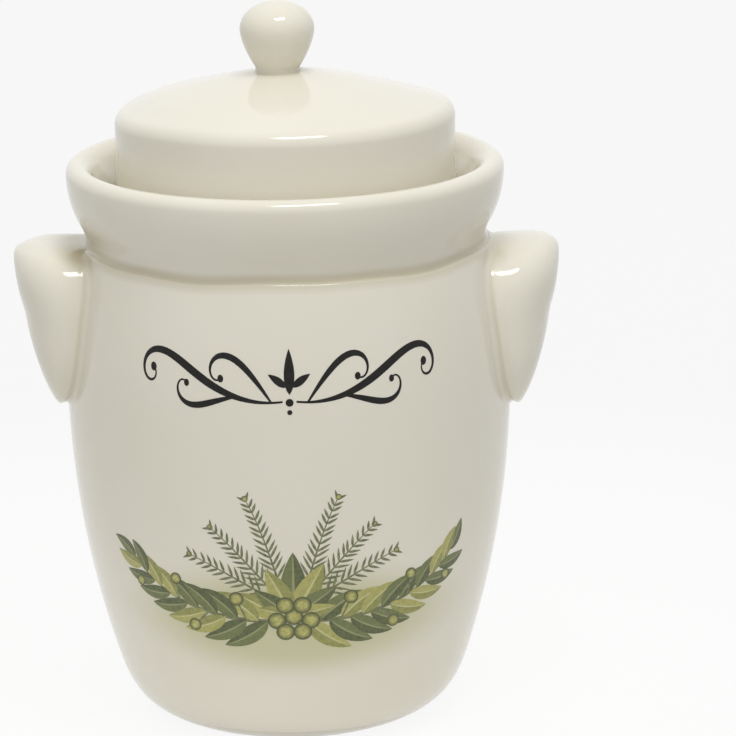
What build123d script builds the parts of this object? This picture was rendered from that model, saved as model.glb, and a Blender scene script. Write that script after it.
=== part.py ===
"""A stoneware crock for pickles, whose domed lid stands in a gutter of water."""

import os
from math import cos, radians, sin, sqrt

from build123d import *

# Sizes are in millimetres. +Z is up, and the origin is the middle of the foot, on the table.
# The handles lie along X, and the front of the crock faces -Y.
# An inset is measured inwards from the radius outside it, and a rise or drop from the height
# that the same piece starts from.

# Vessel: foot, wall and shoulder
body_radius = 101.0
belly_height = 158.0
wall = 8.0
heel_inset = 20.0
heel_height = 28.0
heel_slope = 20.0
heel_middle_share = (0.57, 0.29)
foot_inset = 25.0
foot_ring_width = 9.0
foot_recess = 2.5
floor_thickness = 9.0
floor_flat_inset = 12.0
crease_inset = 8.0
crease_rise = 60.5
crease_round = 2.5
shoulder_drop = 14.5

# Collar: the outer wall of the gutter, which stands on the ledge of the shoulder
collar_ledge = 3.5
collar_foot_width = 5.5
collar_undercut_flare = 4.3
collar_undercut_rise = 11.5
collar_overhang = 9.3
collar_swell_rise = 32.5
collar_rim_width = 10.6
collar_rim_rise = 5.2

# Gutter: its floor is the top of the shoulder, and the lid's skirt stands in it
gutter_floor_rise = 10.5
gutter_cove = 3.0
gutter_gap = 7.3

# Neck: the ring inside the gutter that the vegetables pass through
neck_gap = 2.5
neck_wall = 6.5
neck_height = 29.0
neck_foot_drop = 5.0

# Lid: a skirt and a dome
skirt_wall = 5.7
skirt_height = 44.2
lid_corner_radius = 8.0
dome_edge_slope = 16.0
dome_rise = 23.3
dome_wall = 6.5
vent_radius = 7.0

# Knob on the middle of the dome
stem_radius = 10.0
knob_radius = 16.7
knob_height = 30.2
knob_swell_height = 17.6
knob_under_share = (0.52, 0.37)
knob_crown_angle = 45.0

# Handles: two solid ear lugs, each widest near its top, and set on by hand, so that the
# left one sits a little higher than the right one
handle_top_drop = 2.3
handle_set_off = 2.0
handle_height = 73.5
handle_reach = 23.1
handle_tip_reach = 5.2
handle_half_width = 41.0
handle_root_depth = 14.0
handle_corner = 12.0
handle_top_round = 11.0
handle_tip_round = 3.0
# Each row: height from the bottom and half width
handle_width_shares = [
    (0.0, 0.40),
    (0.05, 0.58),
    (0.16, 0.78),
    (0.36, 0.93),
    (0.60, 1.0),
    (0.84, 0.96),
    (1.0, 0.86),
]

# Weights: two half rounds that lie on the slope of the wall
stone_inset = 13.0
stone_thickness = 15.0
stone_edge = 3.0
stone_split = 1.5

# Clearance between pieces that rest on each other but come apart
rest_gap = 0.3

# Radii, from the outside inwards
heel_radius = body_radius - heel_inset
foot_radius = heel_radius - foot_inset
floor_flat_radius = foot_radius - floor_flat_inset
belly_inner_radius = body_radius - wall
crease_radius = body_radius - crease_inset
collar_foot_radius = crease_radius - collar_ledge
collar_seat_radius = collar_foot_radius - collar_foot_width
collar_radius = collar_foot_radius + collar_overhang
skirt_radius = collar_seat_radius - gutter_gap
skirt_inner = skirt_radius - skirt_wall
neck_radius = skirt_inner - neck_gap
mouth_radius = neck_radius - neck_wall
stone_radius = belly_inner_radius - stone_inset

# Heights, from the foot upwards
floor_height = foot_recess + floor_thickness
crease_height = belly_height + crease_rise
shoulder_height = crease_height - shoulder_drop
handle_middle_top = crease_height - handle_top_drop
gutter_floor_height = crease_height + gutter_floor_rise
collar_swell_height = crease_height + collar_swell_rise
neck_foot_height = gutter_floor_height - neck_foot_drop
lip_height = gutter_floor_height + neck_height
skirt_foot = gutter_floor_height + rest_gap
skirt_top_height = skirt_foot + skirt_height
dome_top_height = skirt_top_height + dome_rise

os.makedirs("parts", exist_ok=True)


def arc_radius(run, rise):
    """Radius of an arc that starts upright and has moved sideways by run after rise."""
    return (run**2 + rise**2) / (2 * run)


def finish(builder, name):
    """Names a finished piece and writes it."""
    builder.part.label = name
    export_step(builder.part, f"parts/{name}.step")
    print(f"{name}: {builder.part.volume / 1000:.1f} cm3")


# The wall below and above the belly follows two arcs that meet upright at the belly.
low_arc = arc_radius(heel_inset, belly_height - heel_height)
high_arc = arc_radius(crease_inset, crease_rise)
low_arc_centre = body_radius - low_arc
high_arc_centre = body_radius - high_arc

# Unit vector from the centre of the lower arc to the heel
heel_out = (heel_radius - low_arc_centre) / low_arc
heel_down = (belly_height - heel_height) / low_arc

# Full outer form of the vessel up to the crease, which the handles are fitted to
with BuildPart() as vessel_core:
    with BuildSketch(Plane.XZ) as core_profile:
        with BuildLine():
            heel_middle = (
                foot_radius + heel_middle_share[0] * foot_inset,
                heel_middle_share[1] * heel_height,
            )
            Line((0, 0), (foot_radius, 0))
            Spline(
                (foot_radius, 0),
                heel_middle,
                (heel_radius, heel_height),
                tangents=(
                    (cos(radians(heel_slope)), sin(radians(heel_slope))),
                    (heel_down, heel_out),
                ),
            )
            TangentArc(
                (body_radius, belly_height), (heel_radius, heel_height), tangent=(0, -1)
            )
            TangentArc(
                (body_radius, belly_height),
                (crease_radius, crease_height),
                tangent=(0, 1),
            )
            Line((crease_radius, crease_height), (0, crease_height))
            Line((0, crease_height), (0, 0))
        make_face()
        crease = core_profile.vertices().sort_by_distance((crease_radius, crease_height, 0))[0]
        fillet(crease, radius=crease_round)
    revolve(axis=Axis.Z)

# Vessel: the core, the shoulder that is the gutter's floor, the neck and the hollow
inner_heel = (
    low_arc_centre + (low_arc - wall) * heel_out,
    belly_height - (low_arc - wall) * heel_down,
)
shoulder_rise = shoulder_height - belly_height
inner_high_arc = high_arc - wall
shoulder_run = sqrt(inner_high_arc**2 - shoulder_rise**2)
inner_shoulder = (high_arc_centre + shoulder_run, shoulder_height)
lip_round = neck_wall / 2

with BuildPart() as crock_body:
    add(vessel_core.part)
    with BuildSketch(Plane.XZ):
        with BuildLine():
            cove_top = (neck_radius, gutter_floor_height + gutter_cove)
            cove_end = (neck_radius + gutter_cove, gutter_floor_height)
            Line((0, crease_height), (collar_seat_radius, crease_height))
            Line((collar_seat_radius, crease_height), (collar_seat_radius, gutter_floor_height))
            Line((collar_seat_radius, gutter_floor_height), cove_end)
            TangentArc(cove_end, cove_top, tangent=(-1, 0))
            Line(cove_top, (neck_radius, lip_height - lip_round))
            ThreePointArc(
                (neck_radius, lip_height - lip_round),
                (neck_radius - lip_round, lip_height),
                (mouth_radius, lip_height - lip_round),
            )
            Line((mouth_radius, lip_height - lip_round), (0, lip_height - lip_round))
            Line((0, lip_height - lip_round), (0, crease_height))
        make_face()
    revolve(axis=Axis.Z)
    with BuildSketch(Plane.XZ):
        with BuildLine():
            Line((0, floor_height), (floor_flat_radius, floor_height))
            Spline(
                (floor_flat_radius, floor_height),
                inner_heel,
                tangents=((1, 0), (heel_down, heel_out)),
            )
            TangentArc((belly_inner_radius, belly_height), inner_heel, tangent=(0, -1))
            TangentArc((belly_inner_radius, belly_height), inner_shoulder, tangent=(0, 1))
            Spline(
                inner_shoulder,
                (mouth_radius, neck_foot_height),
                tangents=((-shoulder_rise, shoulder_run), (0, 1)),
            )
            Line((mouth_radius, neck_foot_height), (mouth_radius, lip_height))
            Line((mouth_radius, lip_height), (0, lip_height))
            Line((0, lip_height), (0, floor_height))
        make_face()
    revolve(axis=Axis.Z, mode=Mode.SUBTRACT)
    with BuildSketch(Plane.XY):
        Circle(foot_radius - foot_ring_width)
    extrude(amount=foot_recess, mode=Mode.SUBTRACT)
finish(crock_body, "crock_body")

# Collar: a ring luted on the ledge of the shoulder, which makes the outer wall of the gutter
collar_rim_inner = collar_radius - collar_rim_width
collar_cove_top = (collar_seat_radius + gutter_cove, gutter_floor_height + gutter_cove)

with BuildPart() as gutter_collar:
    with BuildSketch(Plane.XZ):
        with BuildLine():
            seat_top = (collar_seat_radius, gutter_floor_height)
            undercut = (
                collar_foot_radius + collar_undercut_flare,
                crease_height + collar_undercut_rise,
            )
            swell = (collar_radius, collar_swell_height)
            Line((collar_seat_radius, crease_height), (collar_foot_radius, crease_height))
            Line((collar_foot_radius, crease_height), undercut)
            TangentArc(swell, undercut, tangent=(0, -1))
            ThreePointArc(
                swell,
                (collar_radius - collar_rim_width / 2, collar_swell_height + collar_rim_rise),
                (collar_rim_inner, collar_swell_height),
            )
            Line((collar_rim_inner, collar_swell_height), collar_cove_top)
            TangentArc(seat_top, collar_cove_top, tangent=(1, 0))
            Line(seat_top, (collar_seat_radius, crease_height))
        make_face()
    revolve(axis=Axis.Z)
finish(gutter_collar, "gutter_collar")

# Handles: lofted lugs, fitted to the wall of the vessel
handle_centre = body_radius - handle_root_depth


def lug_reach(height_share):
    """How far a handle stands out past the belly: it swells quickly from its tip."""
    swell = 1 - (1 - height_share) ** 2
    return handle_tip_reach + (handle_reach - handle_tip_reach) * swell


for name, side in (("left_handle", -1), ("right_handle", 1)):
    handle_bottom = handle_middle_top - side * handle_set_off - handle_height
    with BuildPart() as handle:
        for height_share, width_share in handle_width_shares:
            with BuildSketch(Plane.XY.offset(handle_bottom + height_share * handle_height)):
                with Locations((side * handle_centre, 0)):
                    RectangleRounded(
                        2 * (handle_root_depth + lug_reach(height_share)),
                        2 * width_share * handle_half_width,
                        handle_corner,
                    )
        loft()
        fillet(handle.faces().sort_by(Axis.Z)[-1].edges(), radius=handle_top_round)
        fillet(handle.faces().sort_by(Axis.Z)[0].edges(), radius=handle_tip_round)
        add(vessel_core.part, mode=Mode.SUBTRACT)
    finish(handle, name)

# Lid: its skirt stands on the floor of the gutter, around the neck
skirt_round = skirt_wall / 2
slope = radians(dome_edge_slope)
dome_edge = (
    skirt_radius - lid_corner_radius * (1 - sin(slope)),
    skirt_top_height + lid_corner_radius * cos(slope),
)
inner_dome_edge = (
    dome_edge[0] - dome_wall * sin(slope),
    dome_edge[1] - dome_wall * cos(slope),
)
dome_inner_top = dome_top_height - dome_wall

with BuildPart() as lid_shell:
    with BuildSketch(Plane.XZ):
        with BuildLine():
            ThreePointArc(
                (skirt_inner, skirt_foot + skirt_round),
                (skirt_inner + skirt_round, skirt_foot),
                (skirt_radius, skirt_foot + skirt_round),
            )
            Line((skirt_radius, skirt_foot + skirt_round), (skirt_radius, skirt_top_height))
            TangentArc((skirt_radius, skirt_top_height), dome_edge, tangent=(0, 1))
            TangentArc(
                dome_edge, (stem_radius, dome_top_height), tangent=(-cos(slope), sin(slope))
            )
            Line((stem_radius, dome_top_height), (0, dome_top_height))
            Line((0, dome_top_height), (0, dome_inner_top))
            Line((0, dome_inner_top), (stem_radius, dome_inner_top))
            TangentArc(
                inner_dome_edge, (stem_radius, dome_inner_top), tangent=(-cos(slope), sin(slope))
            )
            Spline(
                inner_dome_edge,
                (skirt_inner, skirt_top_height - dome_wall),
                tangents=((cos(slope), -sin(slope)), (0, -1)),
            )
            Line(
                (skirt_inner, skirt_top_height - dome_wall),
                (skirt_inner, skirt_foot + skirt_round),
            )
        make_face()
    revolve(axis=Axis.Z)
    with BuildSketch(Plane.XZ):
        with Locations((0, skirt_foot)):
            Circle(vent_radius)
    extrude(amount=skirt_radius, both=True, mode=Mode.SUBTRACT)
finish(lid_shell, "lid_shell")

# Knob: luted on the flat in the middle of the dome
knob_swell = dome_top_height + knob_swell_height
knob_under = (
    stem_radius + knob_under_share[0] * (knob_radius - stem_radius),
    dome_top_height + knob_under_share[1] * knob_swell_height,
)
knob_top = dome_top_height + knob_height
crown_angle = radians(knob_crown_angle)
knob_crown = (
    knob_radius * cos(crown_angle),
    knob_swell + (knob_height - knob_swell_height) * sin(crown_angle),
)

with BuildPart() as lid_knob:
    with BuildSketch(Plane.XZ):
        with BuildLine():
            Line((0, dome_top_height), (stem_radius, dome_top_height))
            Spline(
                (stem_radius, dome_top_height),
                knob_under,
                (knob_radius, knob_swell),
                tangents=((0, 1), (0, 1)),
            )
            Spline(
                (knob_radius, knob_swell),
                knob_crown,
                (0, knob_top),
                tangents=((0, 1), (-1, 0)),
            )
            Line((0, knob_top), (0, dome_top_height))
        make_face()
    revolve(axis=Axis.Z)
finish(lid_knob, "lid_knob")

# Weights: their lower edge lies rest_gap off the arc of the wall
inner_low_arc = low_arc - wall
edge_centre_radius = stone_radius - stone_edge
edge_reach = inner_low_arc - stone_edge - rest_gap
edge_drop = sqrt(edge_reach**2 - (edge_centre_radius - low_arc_centre) ** 2)
stone_height = belly_height - edge_drop - stone_edge
print(f"weights lie from {stone_height:.1f} to {stone_height + stone_thickness:.1f} mm")

for name, side in (("weight_stone_left", -1), ("weight_stone_right", 1)):
    with BuildPart() as stone:
        with BuildSketch(Plane.XY.offset(stone_height)):
            Circle(stone_radius)
            with Locations((-side * (stone_radius - stone_split / 2), 0)):
                Rectangle(2 * stone_radius, 2 * stone_radius, mode=Mode.SUBTRACT)
        extrude(amount=stone_thickness)
        flat_faces = stone.faces().filter_by(Axis.Z)
        fillet(flat_faces.edges(), radius=stone_edge)
    finish(stone, name)
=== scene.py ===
"""A stoneware pickling crock with a water gutter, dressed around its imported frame."""

from math import atan2, ceil, cos, hypot, pi, radians, sin, sqrt, tan, tau

import bmesh
import bpy
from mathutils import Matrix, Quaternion, Vector
from mathutils.geometry import interpolate_bezier


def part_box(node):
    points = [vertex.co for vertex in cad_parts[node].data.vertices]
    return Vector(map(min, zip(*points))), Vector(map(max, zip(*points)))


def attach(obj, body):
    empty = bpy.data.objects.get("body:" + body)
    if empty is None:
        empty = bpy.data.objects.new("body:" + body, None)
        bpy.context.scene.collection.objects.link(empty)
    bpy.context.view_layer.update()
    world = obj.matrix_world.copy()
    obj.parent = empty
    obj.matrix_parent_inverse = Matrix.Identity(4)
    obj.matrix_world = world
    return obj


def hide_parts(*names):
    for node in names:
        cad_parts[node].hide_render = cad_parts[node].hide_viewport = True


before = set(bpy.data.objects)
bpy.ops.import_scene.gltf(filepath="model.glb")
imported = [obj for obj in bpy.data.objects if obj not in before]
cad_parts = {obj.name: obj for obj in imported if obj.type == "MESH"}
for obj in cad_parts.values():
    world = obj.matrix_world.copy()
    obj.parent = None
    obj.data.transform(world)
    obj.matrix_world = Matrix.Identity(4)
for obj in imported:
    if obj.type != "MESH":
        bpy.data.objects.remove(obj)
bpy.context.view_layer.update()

# Vessel
# The crock itself: white stoneware, turned in one piece with its neck and the floor of the
# gutter, and dipped in cream glaze. Only the foot ring that it stands on in the kiln stays bare.
MM = 0.001


def box_mm(node):
    """Lowest and highest corner of a node of the frame, in millimetres."""
    low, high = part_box(node)
    return low / MM, high / MM


vessel_top = box_mm("crock_body")[1]
collar_low, collar_high = box_mm("gutter_collar")

# Sizes are in millimetres. A pull says how far a bend is drawn towards its corner: the first
# one makes a quarter of a circle, and the second a fuller round.
quarter_pull = 0.5523
full_pull = 0.66
turning_steps = 320
weld = 0.01

body_radius = vessel_top.x
belly_height = 158.0
wall = 8.0
heel_inset = 20.0
heel_height = 28.0
heel_corner = (74.3, 6.65)
heel_pull = 0.77
foot_radius = 56.0
foot_ring_width = 9.0
foot_recess = 2.5
foot_edge = 0.8
bare_height = 1.4
bare_slack = 0.1

floor_height = 11.5
floor_flat_radius = 44.0
floor_corner_radius = 67.0
inner_heel_rise = 2.0
inner_shoulder_height = 200.0
inner_neck_foot = 213.0

crease_inset = 8.0
crease_height = collar_low.z
crease_round = 1.3
crease_waver = 0.6
crease_waver_reach = 14.0
collar_seat_radius = 84.0
gutter_floor_height = 229.0
gutter_cove = 3.0
mouth_radius = 62.0
neck_wall = 6.5
lip_height = vessel_top.z

kiln_warp = 0.5
# Where the painted shade in the pocket between the collar and each handle lies, and how dark it is
# on each side.
pocket_radius = 95.0
pocket_height = 219.0
pocket_half_width = 27.0
pocket_reach = 17.0
pocket_squeeze = 1.3
left_pocket_shade = 0.7
right_pocket_shade = 0.3


def arc_radius(run, rise):
    """Radius of an arc that starts upright and has moved sideways by run after rise."""
    return (run**2 + rise**2) / (2 * run)


low_arc = arc_radius(heel_inset, belly_height - heel_height)
high_arc = arc_radius(crease_inset, crease_height - belly_height)


def wall_radius(height):
    """Radius of the outside of the wall between the heel and the crease."""
    arc = low_arc if height < belly_height else high_arc
    return body_radius - arc + sqrt(arc**2 - (min(height, crease_height) - belly_height) ** 2)


def straight(start, end, steps):
    """Points of an even stretch of outline."""
    return [Vector(start).lerp(Vector(end), step / steps) for step in range(steps + 1)]


def bend(start, corner, end, steps, pull=quarter_pull):
    """Points of a round stretch of outline, which leaves and meets its ends towards corner."""
    start, corner, end = Vector(start), Vector(corner), Vector(end)
    return interpolate_bezier(
        start, start.lerp(corner, pull), end.lerp(corner, pull), end, steps + 1
    )


def wall_points(low, high, inset, steps):
    """Points of the outline that follow the wall, as far inside it as inset."""
    heights = [low + (high - low) * step / steps for step in range(steps + 1)]
    return [Vector((wall_radius(height) - inset, height)) for height in heights]


def turn(outline, steps):
    """Spins an outline of radii and heights about the axis of the crock."""
    bm = bmesh.new()
    verts = [bm.verts.new((radius, 0, height)) for radius, height in outline]
    edges = [bm.edges.new(pair) for pair in zip(verts, verts[1:])]
    bmesh.ops.spin(
        bm, geom=verts + edges, axis=(0, 0, 1), angle=tau, steps=steps, use_merge=True
    )
    bmesh.ops.remove_doubles(bm, verts=bm.verts, dist=weld)
    bmesh.ops.recalc_face_normals(bm, faces=bm.faces)
    return bm


def near(value, middle, reach):
    """1 at the middle, falling smoothly to 0 at reach on both sides."""
    share = min(1, abs(value - middle) / reach)
    return (1 - share**2) ** 2


def warp(bm):
    """Leaves a piece a little out of round, as stoneware comes from the kiln, and the line
    where the collar is luted on not quite level."""
    full_radius = 40.0
    drift = 90.0
    for vert in bm.verts:
        radius = hypot(vert.co.x, vert.co.y)
        angle = atan2(vert.co.y, vert.co.x)
        lag = vert.co.z / drift
        oval = 0.6 * cos(2 * angle + 0.8 + lag)
        three_sided = 0.4 * cos(3 * angle + 2.1 - lag)
        inward = kiln_warp * (1 - (oval + three_sided)) / 2 * min(1, radius / full_radius)
        waver = cos(5 * angle + 1.2) + 0.5 * cos(11 * angle)
        vert.co.z += crease_waver * waver * near(vert.co.z, crease_height, crease_waver_reach)
        if radius:
            vert.co.xy *= 1 - inward / radius


def paint(bm, darkening_at):
    """Writes how much darker each point is painted, from 0 to 1: pooled glaze and painted shade."""
    pooled_and_shade = bm.verts.layers.float.new("pooled_and_shade")
    for vert in bm.verts:
        vert[pooled_and_shade] = min(1, max(0, darkening_at(vert.co)))


def pocket_shade(point):
    """Painted shade in the deep pocket between the collar and a handle, most of all on the left."""
    radius = hypot(point.x, point.y)
    if radius < pocket_radius - pocket_reach:
        return 0
    beyond = max(0, abs(point.y) - pocket_half_width)
    across = pocket_squeeze * hypot(radius - pocket_radius, point.z - pocket_height)
    depth = left_pocket_shade if point.x < 0 else right_pocket_shade
    return depth * near(hypot(beyond, across), 0, pocket_reach)


def settle(bm, name, *materials):
    """Brings a finished mesh from millimetres to metres and makes it an object."""
    sharpest_smooth = radians(38)
    bmesh.ops.scale(bm, vec=(MM, MM, MM), verts=bm.verts)
    mesh = bpy.data.meshes.new(name)
    bm.to_mesh(mesh)
    bm.free()
    mesh.shade_smooth()
    mesh.set_sharp_from_angle(angle=sharpest_smooth)
    for material in materials:
        mesh.materials.append(material)
    piece = bpy.data.objects.new(name, mesh)
    bpy.context.scene.collection.objects.link(piece)
    return piece


def srgb(code):
    """A colour written as an sRGB hex value, in the linear values that shaders take."""
    channels = [int(code[place : place + 2], 16) / 255 for place in (1, 3, 5)]
    linear = [c / 12.92 if c <= 0.04045 else ((c + 0.055) / 1.055) ** 2.4 for c in channels]
    return (*linear, 1)


def add_node(tree, kind, inputs, **settings):
    """Adds a node, gives each input a value or a link from another node's output, and gives
    the new node's outputs."""
    node = tree.nodes.new(kind)
    for name, value in settings.items():
        setattr(node, name, value)
    for key, value in inputs.items():
        if isinstance(value, bpy.types.NodeSocket):
            tree.links.new(value, node.inputs[key])
        else:
            node.inputs[key].default_value = value
    return node.outputs


def noise_scale(size):
    """Scale of a noise texture whose features are this many millimetres across."""
    return 1 / (size * MM)


def new_material(name, roughness, ior):
    """A material with its shader's constant sockets set, and its tree."""
    material = bpy.data.materials.new(name)
    material.use_nodes = True
    shader = material.node_tree.nodes["Principled BSDF"]
    shader.inputs["Roughness"].default_value = roughness
    shader.inputs["IOR"].default_value = ior
    return material, material.node_tree, shader


def glaze(name, wash=False):
    """Glossy cream feldspar glaze, dipped and fired: clear depth and mirror-like highlights.
    It clouds slightly over a hand's width, and is painted warmer and darker in corners, creases and
    seams, partly as pooled glaze and partly as painted shade."""
    cream, cloud, pool_and_shade, wash_green = "#EBE7DA", "#E5E0CE", "#A8996B", "#C9C79F"
    cloud_size, ripple_size, ripple_depth = 55.0, 26.0, 0.05
    material, tree, shader = new_material(name, roughness=0.07, ior=1.52)
    place = add_node(tree, "ShaderNodeTexCoord", {})["Object"]
    clouds = add_node(
        tree, "ShaderNodeTexNoise", {"Vector": place, "Scale": noise_scale(cloud_size), "Detail": 3}
    )["Fac"]
    colour = add_node(
        tree, "ShaderNodeMix", {0: clouds, 6: srgb(cream), 7: srgb(cloud)}, data_type="RGBA"
    )[2]
    if wash:
        colour = add_wash(tree, place, colour, srgb(wash_green))
    # The attribute mixes in a darker warm tone: pooled glaze, and painted shade in creases, seams
    # and the handle pockets.
    pooled_and_shade = add_node(tree, "ShaderNodeAttribute", {}, attribute_name="pooled_and_shade")["Fac"]
    colour = add_node(
        tree, "ShaderNodeMix", {0: pooled_and_shade, 6: colour, 7: srgb(pool_and_shade)}, data_type="RGBA"
    )[2]
    ripples = add_node(
        tree, "ShaderNodeTexNoise",
        {"Vector": place, "Scale": noise_scale(ripple_size), "Detail": 1},
    )["Fac"]
    bump = add_node(
        tree, "ShaderNodeBump", {"Height": ripples, "Distance": ripple_depth * MM, "Strength": 1}
    )["Normal"]
    tree.links.new(colour, shader.inputs["Base Color"])
    tree.links.new(bump, shader.inputs["Normal"])
    return material


def add_wash(tree, place, colour, tint):
    """The soft yellow-green ground that the front print stands on."""
    middle = Vector((0, -0.09, 0.066))
    spread = Vector((0.088, 0.12, 0.032))
    edge, core, strength = 1.0, 0.45, 0.9
    centred = add_node(
        tree, "ShaderNodeMapping", {"Vector": place, "Location": middle, "Scale": spread},
        vector_type="TEXTURE",
    )[0]
    distance = add_node(
        tree, "ShaderNodeVectorMath", {0: centred}, operation="LENGTH"
    )["Value"]
    share = add_node(
        tree, "ShaderNodeMapRange", {0: distance, 1: edge, 2: core, 3: 0.0, 4: strength},
        interpolation_type="SMOOTHSTEP",
    )[0]
    return add_node(tree, "ShaderNodeMix", {0: share, 6: colour, 7: tint}, data_type="RGBA")[2]


def bare_clay(name):
    """White stoneware clay, fired but unglazed: dull and dry, with fine sand in it."""
    pale, grit, grit_size, grain_depth = "#D6CCB6", "#B3A78E", 0.9, 0.12
    first_grit, full_grit = 0.45, 0.75
    material, tree, shader = new_material(name, roughness=0.82, ior=1.5)
    place = add_node(tree, "ShaderNodeTexCoord", {})["Object"]
    sand = add_node(
        tree, "ShaderNodeTexNoise",
        {"Vector": place, "Scale": noise_scale(grit_size), "Detail": 4, "Roughness": 0.7},
    )["Fac"]
    share = add_node(tree, "ShaderNodeMapRange", {0: sand, 1: first_grit, 2: full_grit})[0]
    colour = add_node(
        tree, "ShaderNodeMix", {0: share, 6: srgb(pale), 7: srgb(grit)}, data_type="RGBA"
    )[2]
    bump = add_node(
        tree, "ShaderNodeBump", {"Height": sand, "Distance": grain_depth * MM}
    )["Normal"]
    tree.links.new(colour, shader.inputs["Base Color"])
    tree.links.new(bump, shader.inputs["Normal"])
    return material


cream_glaze = glaze("cream_feldspar_glaze")
printed_glaze = glaze("cream_feldspar_glaze_with_wash", wash=True)
stoneware = bare_clay("unglazed_white_stoneware")

neck_radius = mouth_radius + neck_wall
lip_round = neck_wall / 2
ring_inner = foot_radius - foot_ring_width
inner_heel_height = heel_height + inner_heel_rise
inner_heel = (wall_radius(inner_heel_height) - wall, inner_heel_height)
inner_shoulder = (wall_radius(inner_shoulder_height) - wall, inner_shoulder_height)
vessel_outline = [
    *straight((0, foot_recess), (ring_inner - foot_edge, foot_recess), 6),
    *bend((ring_inner - foot_edge, foot_recess), (ring_inner, foot_recess),
          (ring_inner, foot_recess - foot_edge), 3),
    *bend((ring_inner, foot_edge), (ring_inner, 0), (ring_inner + foot_edge, 0), 3),
    *straight((ring_inner + foot_edge, 0), (foot_radius, 0), 3),
    *bend((foot_radius, 0), heel_corner, (body_radius - heel_inset, heel_height), 16, heel_pull),
    *wall_points(heel_height, crease_height - crease_round, 0, 60)[1:],
    *bend((wall_radius(crease_height - crease_round), crease_height - crease_round),
          (body_radius - crease_inset, crease_height),
          (body_radius - crease_inset - crease_round, crease_height), 6)[1:],
    (collar_seat_radius, crease_height),
    (collar_seat_radius, gutter_floor_height),
    *bend((neck_radius + gutter_cove, gutter_floor_height), (neck_radius, gutter_floor_height),
          (neck_radius, gutter_floor_height + gutter_cove), 5),
    *straight((neck_radius, gutter_floor_height + gutter_cove),
              (neck_radius, lip_height - lip_round), 8)[1:],
    *bend((neck_radius, lip_height - lip_round), (neck_radius, lip_height),
          (neck_radius - lip_round, lip_height), 6)[1:],
    *bend((mouth_radius + lip_round, lip_height), (mouth_radius, lip_height),
          (mouth_radius, lip_height - lip_round), 6)[1:],
    *straight((mouth_radius, lip_height - lip_round), (mouth_radius, gutter_floor_height), 8)[1:],
    *bend((mouth_radius, gutter_floor_height), (mouth_radius, inner_neck_foot),
          inner_shoulder, 10, full_pull)[1:],
    *reversed(wall_points(inner_heel_height, inner_shoulder_height, wall, 30)[:-1]),
    *bend(inner_heel, (floor_corner_radius, floor_height),
          (floor_flat_radius, floor_height), 10)[1:],
    *straight((floor_flat_radius, floor_height), (0, floor_height), 6)[1:],
]


def vessel_pooling_and_shade(point):
    """Painted darker in the crease under the collar, in the handle pockets and in the corner of the
    floor: pooled glaze and painted shade.
    """
    depth, crease_reach, floor_reach = 0.35, 3.5, 12.0
    outside = hypot(point.x, point.y) > wall_radius(point.z) - wall / 2
    if outside:
        return max(depth * near(point.z, crease_height, crease_reach), pocket_shade(point))
    return depth * near(point.z, floor_height, floor_reach)


vessel_mesh = turn(vessel_outline, turning_steps)
paint(vessel_mesh, vessel_pooling_and_shade)
for face in vessel_mesh.faces:
    middle = face.calc_center_median()
    on_ring = hypot(middle.x, middle.y) > ring_inner - bare_slack
    face.material_index = 1 if on_ring and middle.z < bare_height else 0
warp(vessel_mesh)
vessel = settle(vessel_mesh, "crock_vessel", printed_glaze, stoneware)
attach(vessel, "crock")
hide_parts("crock_body")

# Collar
# The outer wall of the gutter: a thick ring thrown apart, set on the ledge of the shoulder and
# luted there with slip. It swells from a narrow foot to a fat rim, which rolls into the gutter.
collar_radius = collar_high.x
collar_cove_foot = (92.1, 217.8)
collar_cove_corner = (90.1, 219.4)
collar_cove_top = (90.9, 223.2)
collar_undercut_corner = (91.6, 226.4)
collar_undercut = (93.8, 230.0)
collar_swell_corner = (collar_radius, 240.0)
collar_swell = (collar_radius, 251.0)
collar_crest = (collar_radius - 5.3, collar_high.z)
collar_roll_corner = (collar_radius - 10.2, collar_high.z)
collar_roll_end = (collar_radius - 12.6, collar_high.z - 6.5)
gutter_slope_foot = (80.9, gutter_floor_height + 11)
gutter_slope_corner = (79.3, gutter_floor_height + 7)
gutter_slope_end = (79.3, gutter_floor_height - 0.1)
collar_seat_depth = 2.0

collar_outline = [
    (collar_seat_radius, crease_height),
    *bend(collar_cove_foot, collar_cove_corner, collar_cove_top, 10),
    *bend(collar_cove_top, collar_undercut_corner, collar_undercut, 8)[1:],
    *bend(collar_undercut, collar_swell_corner, collar_swell, 14, full_pull)[1:],
    *bend(collar_swell, (collar_radius, collar_high.z), collar_crest, 9)[1:],
    *bend(collar_crest, collar_roll_corner, collar_roll_end, 12)[1:],
    *straight(collar_roll_end, gutter_slope_foot, 8)[1:],
    *bend(gutter_slope_foot, gutter_slope_corner, gutter_slope_end, 6)[1:],
    (collar_seat_radius, gutter_floor_height - collar_seat_depth),
    (collar_seat_radius, crease_height),
]


def collar_pooling_and_shade(point):
    """Painted darker at the foot of the collar, and more lightly up its side at the handles: pooled
    glaze and painted shade.
    """
    depth, foot_rise, foot_reach, pocket_share = 0.5, 1, 4.0, 0.45
    at_foot = depth * near(point.z, crease_height + foot_rise, foot_reach)
    return max(at_foot, pocket_share * pocket_shade(point))


collar_mesh = turn(collar_outline, turning_steps)
paint(collar_mesh, collar_pooling_and_shade)
warp(collar_mesh)
collar = settle(collar_mesh, "gutter_ring", cream_glaze)
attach(collar, "crock")
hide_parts("gutter_collar")

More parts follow.
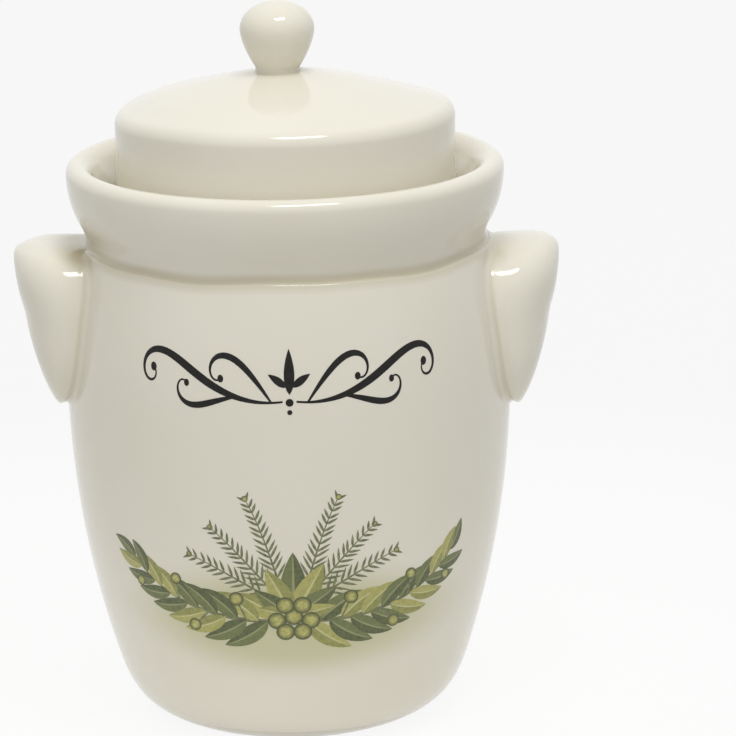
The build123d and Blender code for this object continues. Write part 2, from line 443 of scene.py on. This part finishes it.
# Handles
# Two solid lugs pressed in a mould, scored and luted on the wall while both are leather-hard.
# Each is a fat pad with a rounded top that narrows to its tip. Its seam and the pocket above it are
# painted darker, as pooled glaze and painted shade.
lug_half_width = 41.0
lug_widest_share = 0.60
lug_tip_reach = 4.3
lug_fullness = 1.55
lug_side_round = 36.0
lug_top_round = 6.0
lug_tip_round = 4.0
lug_round_limit = 0.9
lug_neck = 0.7
lug_seam = 2.0
lug_root = 4.0
lug_side_belly = 0.25
lug_end_belly = 0.72
lug_crown = 2.0
lug_top_pull = 0.76
lug_bottom_pull = 0.74
lug_edge_steps = 44
lug_back_steps = 6
collar_step_back = 4.5

# How much higher the foot and the head stand than the frame's box. Side -1 is the left one.
lug_foot_rise = 1.8
lug_head_rise = {-1: 2.2, 1: 3.6}


def grid(bm, columns, rows, place):
    """Lays a grid of faces whose points go where place puts each share of column and row."""
    verts = bmesh.ops.create_grid(bm, x_segments=columns, y_segments=rows, size=1)["verts"]
    for vert in verts:
        vert.co = place((vert.co.x + 1) / 2, (vert.co.y + 1) / 2)


def lug_path(thickness, rounding, belly, span):
    """From the wall to the middle of the pad: inset from its edge, and share of its height."""
    seam = min(lug_seam / thickness, belly / 2)
    return [
        *bend((-lug_seam, 0), (lug_neck, 0), (lug_neck, seam), 6),
        *bend((lug_neck, seam), (0, (seam + belly) / 2), (0, belly), 6)[1:],
        *bend((0, belly), (0, 1), (rounding, 1), 16)[1:],
        *straight((rounding, 1), (span, 1), 12)[1:],
    ]


def wall_at(across, height):
    """How far out the wall stands, at a place across it and a height. Above the crease it
    steps back behind the foot of the collar."""
    above = min(1, max(0, (height - crease_height + crease_round) / crease_round))
    return sqrt((wall_radius(height) - collar_step_back * above) ** 2 - across**2)


def lug(node, side):
    """Builds a handle's mesh on the box of its node, with its foot and head raised."""
    low, high = box_mm(node)
    low.z += lug_foot_rise
    high.z += lug_head_rise[side]
    tall = high.z - low.z
    full_reach = max(-low.x, high.x) - body_radius
    middle = low.z + lug_widest_share * tall

    def face_at(across, height):
        share = min(1, max(0, (height - low.z) / tall))
        grown = 1 - (1 - share) ** lug_fullness
        reach = lug_tip_reach + (full_reach - lug_tip_reach) * grown
        return body_radius + reach - lug_crown * share * (across / lug_half_width) ** 2

    upper = bend((0, high.z), (lug_half_width, high.z), (lug_half_width, middle),
                 lug_edge_steps, lug_top_pull)
    lower = bend((lug_half_width, middle), (lug_half_width, low.z), (0, low.z),
                 lug_edge_steps, lug_bottom_pull)
    half = [*upper, *lower[1:]]
    edge = half + [Vector((-point.x, point.y)) for point in reversed(half[:-1])]
    centre = Vector((0, middle))
    paths = []
    for point in edge:
        spoke = point - centre
        upright = (spoke.y / spoke.length) ** 2
        end_round = lug_top_round if spoke.y > 0 else lug_tip_round
        rounding = lug_side_round * (1 - upright) + end_round * upright
        belly = lug_side_belly * (1 - upright) + lug_end_belly * upright
        thickness = face_at(*point) - wall_at(*point)
        rounding = min(rounding, lug_round_limit * spoke.length)
        paths.append(lug_path(thickness, rounding, belly, spoke.length))
    front_steps = len(paths[0])

    def place(around, along):
        """The first steps cross the back, inside the wall, and the others follow the path."""
        index = round(around * (len(edge) - 1))
        step = round(along * (front_steps + lug_back_steps))
        spoke = edge[index] - centre
        if step > lug_back_steps:
            inset, lift = paths[index][step - lug_back_steps - 1]
            across, height = centre + spoke * (1 - inset / spoke.length)
            base = wall_at(across, height)
            return Vector((side * (base + lift * (face_at(across, height) - base)), across, height))
        inset = max(spoke.length * (1 - step / lug_back_steps), lug_neck)
        across, height = centre + spoke * (1 - inset / spoke.length) if step else centre
        return Vector((side * (wall_at(across, height) - lug_root), across, height))

    bm = bmesh.new()
    grid(bm, len(edge) - 1, front_steps + lug_back_steps, place)
    bmesh.ops.remove_doubles(bm, verts=bm.verts, dist=weld)
    bmesh.ops.recalc_face_normals(bm, faces=bm.faces)
    return bm


def seam_pooling_and_shade(point):
    """Painted darker along the seam with the wall and in the pocket under the collar: pooled glaze
    and painted shade.
    """
    depth, seam_reach = 0.25, 1.8
    off_wall = hypot(point.x, point.y) - wall_radius(point.z)
    return max(depth * near(off_wall, seam_reach, seam_reach), pocket_shade(point))


for node, name, side in (("left_handle", "left_lug", -1), ("right_handle", "right_lug", 1)):
    lug_mesh = lug(node, side)
    paint(lug_mesh, seam_pooling_and_shade)
    warp(lug_mesh)
    handle = settle(lug_mesh, name, cream_glaze)
    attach(handle, "crock")
    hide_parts(node)

# Lid
# A turned lid with a low dome and a straight skirt. The skirt stands in the water of the
# gutter, and gas from the brine bubbles out through the half-round notches in its edge.
lid_low, lid_high = box_mm("lid_shell")
lid_steps = 384
lid_sits_right = 0.5
skirt_radius = lid_high.x
skirt_wall = 5.7
skirt_top_height = 274.9
lid_corner = 6.8
lid_corner_pull = 0.58
dome_slope = radians(18)
dome_pull = 0.5
dome_top = lid_high.z - 1.6
dome_wall = 6.5
stem_radius = 10.0
inner_corner_rise = 0.5
vent_radius = 7.0
vent_rise = 26.0

# Where the dome sank in the kiln: towards what side, how deep, at what radius, how far round it.
dome_sags = ((radians(180), 2.4, 74.0, 18.0), (radians(40), 0.9, 70.0, 36.0))

skirt_inner = skirt_radius - skirt_wall
skirt_round = skirt_wall / 2
skirt_foot = lid_low.z
dome_edge = Vector((
    skirt_radius - lid_corner * (1 - sin(dome_slope)),
    skirt_top_height + lid_corner * cos(dome_slope),
))
dome_run = dome_edge.x - stem_radius
dome_corner = dome_edge + Vector((-dome_run / 2, dome_run / 2 * tan(dome_slope)))
dome_drop = Vector((0, -dome_wall))
inner_corner = Vector((skirt_inner, skirt_top_height + inner_corner_rise))
lid_outline = [
    *bend((skirt_inner, skirt_foot + skirt_round), (skirt_inner, skirt_foot),
          (skirt_inner + skirt_round, skirt_foot), 5),
    *bend((skirt_radius - skirt_round, skirt_foot), (skirt_radius, skirt_foot),
          (skirt_radius, skirt_foot + skirt_round), 5)[1:],
    *straight((skirt_radius, skirt_foot + skirt_round), (skirt_radius, skirt_top_height), 18)[1:],
    *bend((skirt_radius, skirt_top_height),
          (skirt_radius, skirt_top_height + lid_corner * tan((pi / 2 - dome_slope) / 2)),
          dome_edge, 12, lid_corner_pull)[1:],
    *bend(dome_edge, dome_corner, (stem_radius, dome_top), 24, dome_pull)[1:],
    *straight((stem_radius, dome_top), (0, dome_top), 3)[1:],
    *straight((0, dome_top - dome_wall), (stem_radius, dome_top - dome_wall), 3),
    *bend(Vector((stem_radius, dome_top)) + dome_drop, dome_corner + dome_drop,
          dome_edge + dome_drop, 16, dome_pull)[1:],
    *bend(dome_edge + dome_drop, inner_corner, (skirt_inner, skirt_top_height - dome_wall),
          6)[1:],
    *straight((skirt_inner, skirt_top_height - dome_wall),
              (skirt_inner, skirt_foot + skirt_round), 18)[1:],
]


def cut_vents(bm):
    """Draws the edge of the skirt up into a half-round notch at the front and at the back."""
    for vert in bm.verts:
        rise = vert.co.z - skirt_foot
        in_skirt = hypot(vert.co.x, vert.co.y) > skirt_inner - 1
        if in_skirt and abs(vert.co.x) < vent_radius and rise < vent_rise:
            arch = sqrt(vent_radius**2 - vert.co.x**2)
            vert.co.z = skirt_foot + arch + rise * (1 - arch / vent_rise)


def sink(bm):
    """Lowers the dome where it sank in the kiln, and leaves the foot of the skirt level."""
    narrowness, fade_height = 5, 16.0
    for vert in bm.verts:
        radius = hypot(vert.co.x, vert.co.y)
        angle = atan2(vert.co.y, vert.co.x)
        above_skirt = min(1, max(0, 1 + (vert.co.z - skirt_top_height) / fade_height))
        for toward, depth, middle, reach in dome_sags:
            share = max(0, cos(angle - toward)) ** narrowness
            vert.co.z -= depth * share * near(radius, middle, reach) * above_skirt


def lid_pooling_and_shade(point):
    """Painted darker round the knob's seam and at the edge of the skirt: pooled glaze and painted
    shade.
    """
    depth, knob_reach, foot_reach = 0.25, 4.0, 8.0
    radius = hypot(point.x, point.y)
    at_knob = near(radius, stem_radius, knob_reach) if point.z > dome_top - dome_wall / 2 else 0
    return depth * at_knob + depth * near(point.z, skirt_foot, foot_reach)


lid_mesh = turn(lid_outline, lid_steps)
paint(lid_mesh, lid_pooling_and_shade)
cut_vents(lid_mesh)
sink(lid_mesh)
bmesh.ops.translate(lid_mesh, verts=lid_mesh.verts, vec=(lid_sits_right, 0, 0))
warp(lid_mesh)
lid = settle(lid_mesh, "lid_dome", cream_glaze)
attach(lid, "lid")
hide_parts("lid_shell")

# Knob
# A solid ball of clay turned on a short stem, luted on the flat in the middle of the dome.
# The seam round its foot stays visible as a fine line under the glaze, painted darker as pooled
# glaze and painted shade.
knob_low, knob_high = box_mm("lid_knob")
knob_steps = 128
knob_sits_left = 2.2
knob_radius = knob_high.x
knob_swell = (knob_radius, knob_low.z + 17.8)
knob_flare = (knob_radius, knob_low.z + 10.6)
knob_flare_pull = 0.6
knob_waist = (stem_radius, knob_low.z + 0.6)
knob_foot = dome_top
knob_seam = 0.5

knob_outline = [
    (0, knob_foot - 2 * knob_seam),
    (stem_radius - knob_seam, knob_foot - 2 * knob_seam),
    *bend((stem_radius + knob_seam, knob_foot - knob_seam), (stem_radius, knob_foot),
          knob_waist, 5),
    *bend(knob_waist, knob_flare, knob_swell, 18, knob_flare_pull)[1:],
    *bend(knob_swell, (knob_radius, knob_high.z), (0, knob_high.z), 20)[1:],
]


def knob_pooling_and_shade(point):
    """Painted darker in the seam at the foot of the knob: pooled glaze and painted shade."""
    depth, reach = 0.35, 3.0
    return depth * near(point.z, knob_foot, reach)


knob_mesh = turn(knob_outline, knob_steps)
paint(knob_mesh, knob_pooling_and_shade)
bmesh.ops.translate(knob_mesh, verts=knob_mesh.verts, vec=(-knob_sits_left, 0, 0))
knob = settle(knob_mesh, "dome_knob", cream_glaze)
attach(knob, "lid")
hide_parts("lid_knob")

# Weights
# Two half rounds of unglazed stoneware that hold the vegetables under the brine. They are cut
# from one slab, with their edges sponged round, and lie loose on the slope of the wall.
stone_steps = 160
stone_split = 1.5
stone_edge = 3.0
stone_edge_steps = 4

for node, side in (("weight_stone_left", -1), ("weight_stone_right", 1)):
    low, high = box_mm(node)
    radius = max(-low.x, high.x)
    bm = bmesh.new()
    bmesh.ops.create_circle(bm, cap_ends=True, segments=stone_steps, radius=radius)
    whole = bm.verts[:] + bm.edges[:] + bm.faces[:]
    bmesh.ops.bisect_plane(
        bm, geom=whole, plane_co=(side * stone_split / 2, 0, 0), plane_no=(-side, 0, 0),
        clear_outer=True,
    )
    slab = bmesh.ops.extrude_face_region(bm, geom=bm.faces[:])["geom"]
    raised = [part for part in slab if isinstance(part, bmesh.types.BMVert)]
    bmesh.ops.translate(bm, verts=raised, vec=(0, 0, high.z - low.z))
    bmesh.ops.recalc_face_normals(bm, faces=bm.faces)
    sharp = [edge for edge in bm.edges if edge.calc_face_angle(0) > radians(45)]
    bmesh.ops.bevel(
        bm, geom=sharp, offset=stone_edge, offset_type="OFFSET", segments=stone_edge_steps,
        profile=0.5, affect="EDGES", material=-1,
    )
    bmesh.ops.translate(bm, verts=bm.verts, vec=(0, 0, low.z))
    stone = settle(bm, node.replace("weight_stone", "slab"), stoneware)
    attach(stone, node.replace("_stone", ""))
    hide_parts(node)

# Prints
# Two ceramic transfers fired into the glaze on the front: a pen-drawn scroll in black, and
# under it a garland of olive leaves and fruit. The colour lies a hair above the glaze.
print_sunk = 0.1
print_proud = 0.05
print_layer = 0.008
print_weld = 0.004
scroll_height = 178.0
garland_height = 86.0


def on_wall(across, height, proud):
    """Place on the front of the wall, at a length round it and a height."""
    radius = wall_radius(height)
    return Vector((
        (radius + proud) * sin(across / radius),
        -(radius + proud) * cos(across / radius),
        height,
    ))


def add_patch(bm, columns, rows, place, layer):
    """Adds a thin flat shape; its two shares from 0 to 1 become its UV map."""
    bm.loops.layers.uv.verify()
    patch = bmesh.ops.create_grid(
        bm, x_segments=columns, y_segments=rows, size=1, calc_uvs=True
    )["verts"]
    for vert in patch:
        across, height = place((vert.co.x + 1) / 2, (vert.co.y + 1) / 2)
        vert.co = (across, height, -print_sunk)
    bmesh.ops.remove_doubles(bm, verts=patch, dist=print_weld)
    patch = [vert for vert in patch if vert.is_valid]
    faces = {face for vert in patch for face in vert.link_faces}
    top = bmesh.ops.extrude_face_region(bm, geom=list(faces))["geom"]
    raised = [part for part in top if isinstance(part, bmesh.types.BMVert)]
    for vert in raised:
        vert.co.z = print_proud + layer * print_layer
    shell = list({face for vert in patch + raised for face in vert.link_faces})
    bmesh.ops.recalc_face_normals(bm, faces=shell)
    upper = next(part for part in top if isinstance(part, bmesh.types.BMFace))
    upper.normal_update()
    if upper.normal.z < 0:
        bmesh.ops.reverse_faces(bm, faces=shell)


def swept(start, heading, length, bend_from, bend_to, ease=2, steps=60):
    """Points of a pen stroke whose bend in radians a millimetre grows along its length."""
    points = [Vector(start)]
    for step in range(steps):
        heading += (bend_from + (bend_to - bend_from) * (step / steps) ** ease) * length / steps
        points.append(points[-1] + Vector((cos(heading), sin(heading))) * length / steps)
    return points


def heading_at(points, step):
    """Heading of a stroke at one of its points."""
    ahead = points[step] - points[step - 1]
    return atan2(ahead.y, ahead.x)


def add_stroke(bm, points, widths, layer, rows=2):
    """Adds a stroke along points, as wide as widths says at each share of its length."""
    last = len(points) - 1

    def place(along, across):
        index = round(along * last)
        ahead = points[min(last, index + 1)] - points[max(0, index - 1)]
        side = Vector((-ahead.y, ahead.x)).normalized()
        return points[index] + side * widths(along) * (across - 0.5)

    add_patch(bm, last, rows, place, layer)


def swell(thin, thick, peak):
    """Width of a pen stroke that is thin at its ends and thickest at its peak."""
    return lambda share: thin + (thick - thin) * near(share, peak, max(peak, 1 - peak))


def add_leaf(bm, root, heading, length, width, layer, droop=0.0):
    """Adds an oval leaf with a pointed tip, bent a little to one side."""
    steps, row_width, lean_to_root, fullness = 14, 2, 0.8, 0.85
    spine = swept(root, heading, length, droop / length, droop / length, steps=steps)
    rows = 2 * ceil(width / (2 * row_width))
    add_stroke(
        bm, spine, lambda share: width * sin(pi * share**lean_to_root) ** fullness, layer, rows
    )


def add_drop(bm, centre, radius, layer):
    """Adds a round fruit, bud or dot."""
    steps_round, steps_inward = 24, 5

    def place(along, across):
        angle = tau * along
        reach = radius * (1 - across)
        return Vector((centre[0] + reach * cos(angle), centre[1] + reach * sin(angle)))

    add_patch(bm, steps_round, steps_inward, place, layer)


def settle_print(bm, name, height, material):
    """Wraps a flat print on the wall at a height, and lets it ride on the crock."""
    for vert in bm.verts:
        vert.co = on_wall(vert.co.x, vert.co.y + height, vert.co.z)
    warp(bm)
    print_piece = settle(bm, name, material)
    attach(print_piece, "crock")


def transfer(name, dark, light, rib=None, rim=None, specular=0.5):
    """Ceramic transfer colour under a clear glaze: smooth and glossy, with a fine grain of
    printed dots that shows as mottling. A leaf has a paler rib and a lighter half, and a
    fruit is darker towards its rim."""
    mottle_size, mottle_low, mottle_high = 1.6, 0.3, 0.7
    mottle_share, dull_half, bright_half = 0.45, 0.1, 0.55
    half_from, half_to = 0.46, 0.56
    rib_edge, rib_fade, rib_strength = 0.02, 0.07, 0.8
    rim_edge, rim_fade = 0.05, 0.6
    material, tree, shader = new_material(name, roughness=0.09, ior=1.5)
    shader.inputs["Specular IOR Level"].default_value = specular
    place = add_node(tree, "ShaderNodeTexCoord", {})
    mottle = add_node(
        tree, "ShaderNodeTexNoise",
        {"Vector": place["Object"], "Scale": noise_scale(mottle_size), "Detail": 3},
    )["Fac"]
    share = add_node(tree, "ShaderNodeMapRange", {0: mottle, 1: mottle_low, 2: mottle_high})[0]
    across = add_node(tree, "ShaderNodeSeparateXYZ", {0: place["UV"]})[1]
    if rib:
        half = add_node(
            tree, "ShaderNodeMapRange",
            {0: across, 1: half_from, 2: half_to, 3: dull_half, 4: bright_half},
        )[0]
        share = add_node(
            tree, "ShaderNodeMath", {0: share, 1: mottle_share, 2: half}, operation="MULTIPLY_ADD"
        )[0]
    colour = add_node(
        tree, "ShaderNodeMix", {0: share, 6: srgb(dark), 7: srgb(light)}, data_type="RGBA"
    )[2]
    if rib:
        off_rib = add_node(tree, "ShaderNodeMath", {0: across, 1: 0.5}, operation="SUBTRACT")[0]
        off_rib = add_node(tree, "ShaderNodeMath", {0: off_rib}, operation="ABSOLUTE")[0]
        on_rib = add_node(
            tree, "ShaderNodeMapRange",
            {0: off_rib, 1: rib_edge, 2: rib_fade, 3: rib_strength, 4: 0},
        )[0]
        colour = add_node(
            tree, "ShaderNodeMix", {0: on_rib, 6: colour, 7: srgb(rib)}, data_type="RGBA"
        )[2]
    if rim:
        on_rim = add_node(
            tree, "ShaderNodeMapRange", {0: across, 1: rim_edge, 2: rim_fade, 3: 1, 4: 0}
        )[0]
        colour = add_node(
            tree, "ShaderNodeMix", {0: on_rim, 6: colour, 7: srgb(rim)}, data_type="RGBA"
        )[2]
    tree.links.new(colour, shader.inputs["Base Color"])
    return material


ink = transfer("black_transfer", "#0F0E0D", "#211F1C", specular=0.25)
stalk_green = transfer("grey_green_transfer", "#5E6548", "#8B8D68")
dark_leaf = transfer("dark_leaf_transfer", "#46502F", "#7B8250", rib="#A5A678")
light_leaf = transfer("light_leaf_transfer", "#7E8345", "#B9B46C", rib="#D2CF9A")
fruit_green = transfer("fruit_transfer", "#9A9A4C", "#C9C57E", rim="#4A5230")

# The strokes of half a scroll. Each has its start, heading in degrees and length, the bends it
# starts and ends with, how late it curls, its steps, its thin and thick width with the share of
# its length where it is thickest, and the radius of the dot at its end. A leaf has its root,
# heading, length and width. Each half is stretched upwards once it is drawn.
scroll_strokes = (
    ((3, -7), -6, 84, (0.0165, -0.49), 5, 120, (0.7, 3.0, 0.5), 1.5),
    ((8, -7.2), 50, 42, (-0.007, -0.43), 3, 60, (0.6, 2.4, 0.45), 1.3),
    ((22, -5.2), -8, 38, (-0.01, 0.53), 3.4, 60, (0.5, 2.2, 0.45), 1.2),
)
scroll_stretch = 1.3
scroll_side_leaf = ((1.2, -2.0), radians(28), 9, 2.8)
scroll_middle_leaf = ((0, -6), radians(90), 20, 4.6)
scroll_dots = (((0, -9.5), 1.7), ((0, -13.8), 1.1))

scroll = bmesh.new()
for mirror in (1, -1):
    half = bmesh.new()
    layer = 0
    for start, heading, length, bends, ease, steps, widths, dot in scroll_strokes:
        points = swept(start, radians(heading), length, *bends, ease, steps)
        add_stroke(half, points, swell(*widths), layer)
        add_drop(half, points[-1], dot, layer + 1)
        layer += 2
    add_leaf(half, *scroll_side_leaf, layer)
    bmesh.ops.scale(half, vec=(mirror, scroll_stretch, 1), verts=half.verts)
    if mirror < 0:
        bmesh.ops.reverse_faces(half, faces=half.faces)
    half_mesh = bpy.data.meshes.new("scroll_half")
    half.to_mesh(half_mesh)
    scroll.from_mesh(half_mesh)
    bpy.data.meshes.remove(half_mesh)
    half.free()
add_leaf(scroll, *scroll_middle_leaf, layer + 1)
for centre, radius in scroll_dots:
    add_drop(scroll, centre, radius, layer + 2)
settle_print(scroll, "pen_scroll", scroll_height, ink)

# The garland. A leafy bough runs out on each side, with fruits on stalks: each has its step
# along the bough, lean in degrees and length. Over it stand three sprigs a side: each has its
# heading, length and count of leaflets. In the middle a fan of leaves, given by their headings,
# lies under a bunch of fruits. Pairs of leans and lengths are those at the foot and the tip.
bough_foot, bough_heading, bough_length, bough_bends = (2, -19), -4, 82, (0.007, 0.018)
bough_leaves, bough_first_step, leaf_leans, leaf_lengths = 17, 3, (50, 36), (25, 16)
leaf_slimness, leaf_droop = 0.36, 0.5
bough_fruits = ((14, 62, 11), (27, -58, 10), (38, 58, 10), (50, -50, 8))
fruit_radius, fruit_shrink = 3.6, 0.02
bough_widths, stalk_widths, sprig_widths = (0.7, 1.9, 0.1), (0.6, 0.9, 0.45), (0.4, 1.0, 0.1)
sprig_foot, sprig_bend = (3, -12), 0.012
sprigs = ((74, 54, 13), (50, 50, 12), (30, 50, 11))
leaflet_first_step, leaflet_run, leaflet_lean = 16, 43, 0.75
leaflet_length, leaflet_shrink, leaflet_width, bud_radius = 8.5, 4.5, 1.2, 1.4
fan_foot, fan_headings = (0, -17), (90, 62, 118, 36, 144, 14, 166)
fan_length, fan_shrink, fan_slimness, fan_dark_ones = 31, 2.4, 0.38, (0, 3, 4)
bunch_radius = 4.1
bunch = (
    fan_foot, (-7.5, -19), (7.5, -19), (-3.8, -11.5), (3.8, -11.5), (-3.8, -24.5), (3.8, -24.5)
)
bough_layer, sprig_layer, leaflet_layer, leaf_layer = 0, 1, 2, 4
stalk_layer, fan_layer, bunch_layer = 12, 14, 21


def heading_on(mirror, degrees):
    """Heading of a stalk on the right of the garland, or of its mirror image on the left."""
    return radians(degrees) if mirror > 0 else pi - radians(degrees)


def between(ends, share):
    """A value at this share of the way from the first end to the second."""
    return ends[0] + (ends[1] - ends[0]) * share


stalks, dark_leaves, light_leaves, fruits = (bmesh.new() for part in range(4))
for mirror in (1, -1):
    bough = swept((mirror * bough_foot[0], bough_foot[1]), heading_on(mirror, bough_heading),
                  bough_length, *(mirror * bend_there for bend_there in bough_bends))
    add_stroke(stalks, bough, swell(*bough_widths), bough_layer)
    tip = len(bough) - 1
    for index in range(bough_leaves):
        step = bough_first_step + round(index * (tip - bough_first_step) / (bough_leaves - 1))
        share = step / tip
        lean = radians(between(leaf_leans, share)) * (1 if index % 2 else -1) if step < tip else 0
        length = between(leaf_lengths, share)
        two_in_five = (index * 3 + (mirror > 0)) % 5 < 2
        leaves = light_leaves if two_in_five else dark_leaves
        add_leaf(leaves, bough[step], heading_at(bough, step) + lean, length,
                 leaf_slimness * length, leaf_layer + index % 8,
                 droop=-leaf_droop if lean > 0 else leaf_droop)
    for step, lean, reach in bough_fruits:
        heading = heading_at(bough, step) + mirror * radians(lean)
        stalk = swept(bough[step], heading, reach, 0, 0, steps=6)
        add_stroke(stalks, stalk, swell(*stalk_widths), stalk_layer)
        add_drop(fruits, stalk[-1], fruit_radius - step * fruit_shrink, stalk_layer + 1)
    for degrees, length, leaflets in sprigs:
        sprig = swept((mirror * sprig_foot[0], sprig_foot[1]), heading_on(mirror, degrees), length,
                      0, -mirror * sprig_bend)
        add_stroke(stalks, sprig, swell(*sprig_widths), sprig_layer)
        for index in range(leaflets):
            step = leaflet_first_step + round(index * leaflet_run / (leaflets - 1))
            reach = leaflet_length - leaflet_shrink * index / leaflets
            for lean in (leaflet_lean, -leaflet_lean):
                add_leaf(stalks, sprig[step], heading_at(sprig, step) + lean, reach,
                         leaflet_width, leaflet_layer + index % 3)
        add_drop(fruits, sprig[-1], bud_radius, leaflet_layer + 1)
for index, degrees in enumerate(fan_headings):
    length = fan_length - fan_shrink * index
    leaves = dark_leaves if index in fan_dark_ones else light_leaves
    add_leaf(leaves, fan_foot, radians(degrees), length, fan_slimness * length, fan_layer + index)
for index, centre in enumerate(bunch):
    add_drop(fruits, centre, bunch_radius, bunch_layer + index)
settle_print(stalks, "garland_stalks", garland_height, stalk_green)
settle_print(dark_leaves, "garland_dark_leaves", garland_height, dark_leaf)
settle_print(light_leaves, "garland_light_leaves", garland_height, light_leaf)
settle_print(fruits, "garland_fruit", garland_height, fruit_green)

# Stage
# A pale floor that keeps the crock's shadow, surroundings that look white, and one soft box
# above the camera's right shoulder. The room's own light is strongest overhead and in front.
# The floor's near and far colours paint a pool of light round the crock, darker far off.
floor_near, floor_far = "#F2F1EE", "#A3A29F"
floor_pale_reach = (0.15, 0.6)
floor_seen_white = 0.9
floor_reach = 12000.0
ambient_side = 0.42
ambient_top = 1.05
ambient_falloff = 4
front_fill = 0.62
front_falloff = 3
front_side = Vector((-0.2, -0.93, 0.3))
soft_box_width = 0.6
soft_box_depth = 0.34
soft_box_power = 6.8
soft_box_distance = 1.5
soft_box_turn = radians(19)
soft_box_height = radians(69)
soft_box_aim = Vector((0, 0, 0.2))
camera_place = Vector((0, -1.8, 0.6215))
camera_target = Vector((0.0360, 0, 0.1573))
camera_lens = 199.8
camera_film_width = 36
camera_roll = radians(-0.9)


def seen_directly(tree):
    """1 for the camera and for what glossy and clear surfaces show, 0 for scattered light."""
    rays = add_node(tree, "ShaderNodeLightPath", {})
    seen = rays["Is Camera Ray"]
    for other in ("Is Glossy Ray", "Is Transmission Ray"):
        seen = add_node(tree, "ShaderNodeMath", {0: seen, 1: rays[other]}, operation="MAXIMUM")[0]
    return seen


def pale_floor(name):
    """Matt white paper, painted paler near the crock and darker far off as a painted pool of light,
    which looks nearly as white as the room.
    """
    material, tree, shader = new_material(name, roughness=0.9, ior=1.45)
    place = add_node(tree, "ShaderNodeTexCoord", {})["Object"]
    distance = add_node(tree, "ShaderNodeVectorMath", {0: place}, operation="LENGTH")["Value"]
    far = add_node(
        tree, "ShaderNodeMapRange", {0: distance, 1: floor_pale_reach[0], 2: floor_pale_reach[1]}
    )[0]
    tone = add_node(
        tree, "ShaderNodeMix", {0: far, 6: srgb(floor_near), 7: srgb(floor_far)}, data_type="RGBA"
    )[2]
    tree.links.new(tone, shader.inputs["Base Color"])
    share = add_node(
        tree, "ShaderNodeMath", {0: seen_directly(tree), 1: floor_seen_white},
        operation="MULTIPLY",
    )[0]
    white = add_node(tree, "ShaderNodeEmission", {"Color": (1, 1, 1, 1), "Strength": 1})[0]
    blend = add_node(tree, "ShaderNodeMixShader", {0: share, 1: shader.outputs[0], 2: white})[0]
    tree.links.new(blend, tree.nodes["Material Output"].inputs["Surface"])
    return material


def white_room(name):
    """Soft light from all round, which is white wherever it is seen directly."""
    room = bpy.data.worlds.new(name)
    room.use_nodes = True
    tree = room.node_tree
    place = add_node(tree, "ShaderNodeTexCoord", {})["Generated"]
    height = add_node(tree, "ShaderNodeSeparateXYZ", {0: place})[2]
    overhead = add_node(
        tree, "ShaderNodeMath", {0: height, 1: ambient_falloff}, operation="POWER"
    )[0]
    soft = add_node(
        tree, "ShaderNodeMapRange", {0: overhead, 3: ambient_side, 4: ambient_top}
    )[0]
    facing = add_node(
        tree, "ShaderNodeVectorMath", {0: place, 1: front_side}, operation="DOT_PRODUCT"
    )["Value"]
    facing = add_node(tree, "ShaderNodeMath", {0: facing, 1: 0}, operation="MAXIMUM")[0]
    facing = add_node(tree, "ShaderNodeMath", {0: facing, 1: front_falloff}, operation="POWER")[0]
    soft = add_node(
        tree, "ShaderNodeMath", {0: facing, 1: front_fill, 2: soft}, operation="MULTIPLY_ADD"
    )[0]
    strength = add_node(
        tree, "ShaderNodeMapRange", {0: seen_directly(tree), 3: soft, 4: 1.0}
    )[0]
    tree.links.new(strength, tree.nodes["Background"].inputs["Strength"])
    tree.nodes["Background"].inputs["Color"].default_value = (1, 1, 1, 1)
    return room


floor_mesh = bmesh.new()
bmesh.ops.create_grid(floor_mesh, x_segments=2, y_segments=2, size=floor_reach)
floor = settle(floor_mesh, "floor", pale_floor("pale_floor"))
bpy.context.scene.world = white_room("white_room")

soft_box = bpy.data.lights.new("soft_box", "AREA")
soft_box.shape = "RECTANGLE"
soft_box.size = soft_box_width
soft_box.size_y = soft_box_depth
soft_box.energy = soft_box_power
lamp = bpy.data.objects.new("soft_box", soft_box)
toward_lamp = Vector((
    sin(soft_box_turn) * cos(soft_box_height),
    -cos(soft_box_turn) * cos(soft_box_height),
    sin(soft_box_height),
))
lamp.location = soft_box_aim + toward_lamp * soft_box_distance
lamp.rotation_euler = toward_lamp.to_track_quat("Z", "Y").to_euler()
bpy.context.scene.collection.objects.link(lamp)

camera = bpy.data.objects.new("camera", bpy.data.cameras.new("camera"))
camera.data.lens = camera_lens
camera.data.sensor_width = camera_film_width
camera.location = camera_place
look = (camera_place - camera_target).to_track_quat("Z", "Y")
camera.rotation_euler = (look @ Quaternion((0, 0, 1), camera_roll)).to_euler()
bpy.context.scene.collection.objects.link(camera)
bpy.context.scene.camera = camera
bpy.context.scene.view_settings.view_transform = "Standard"
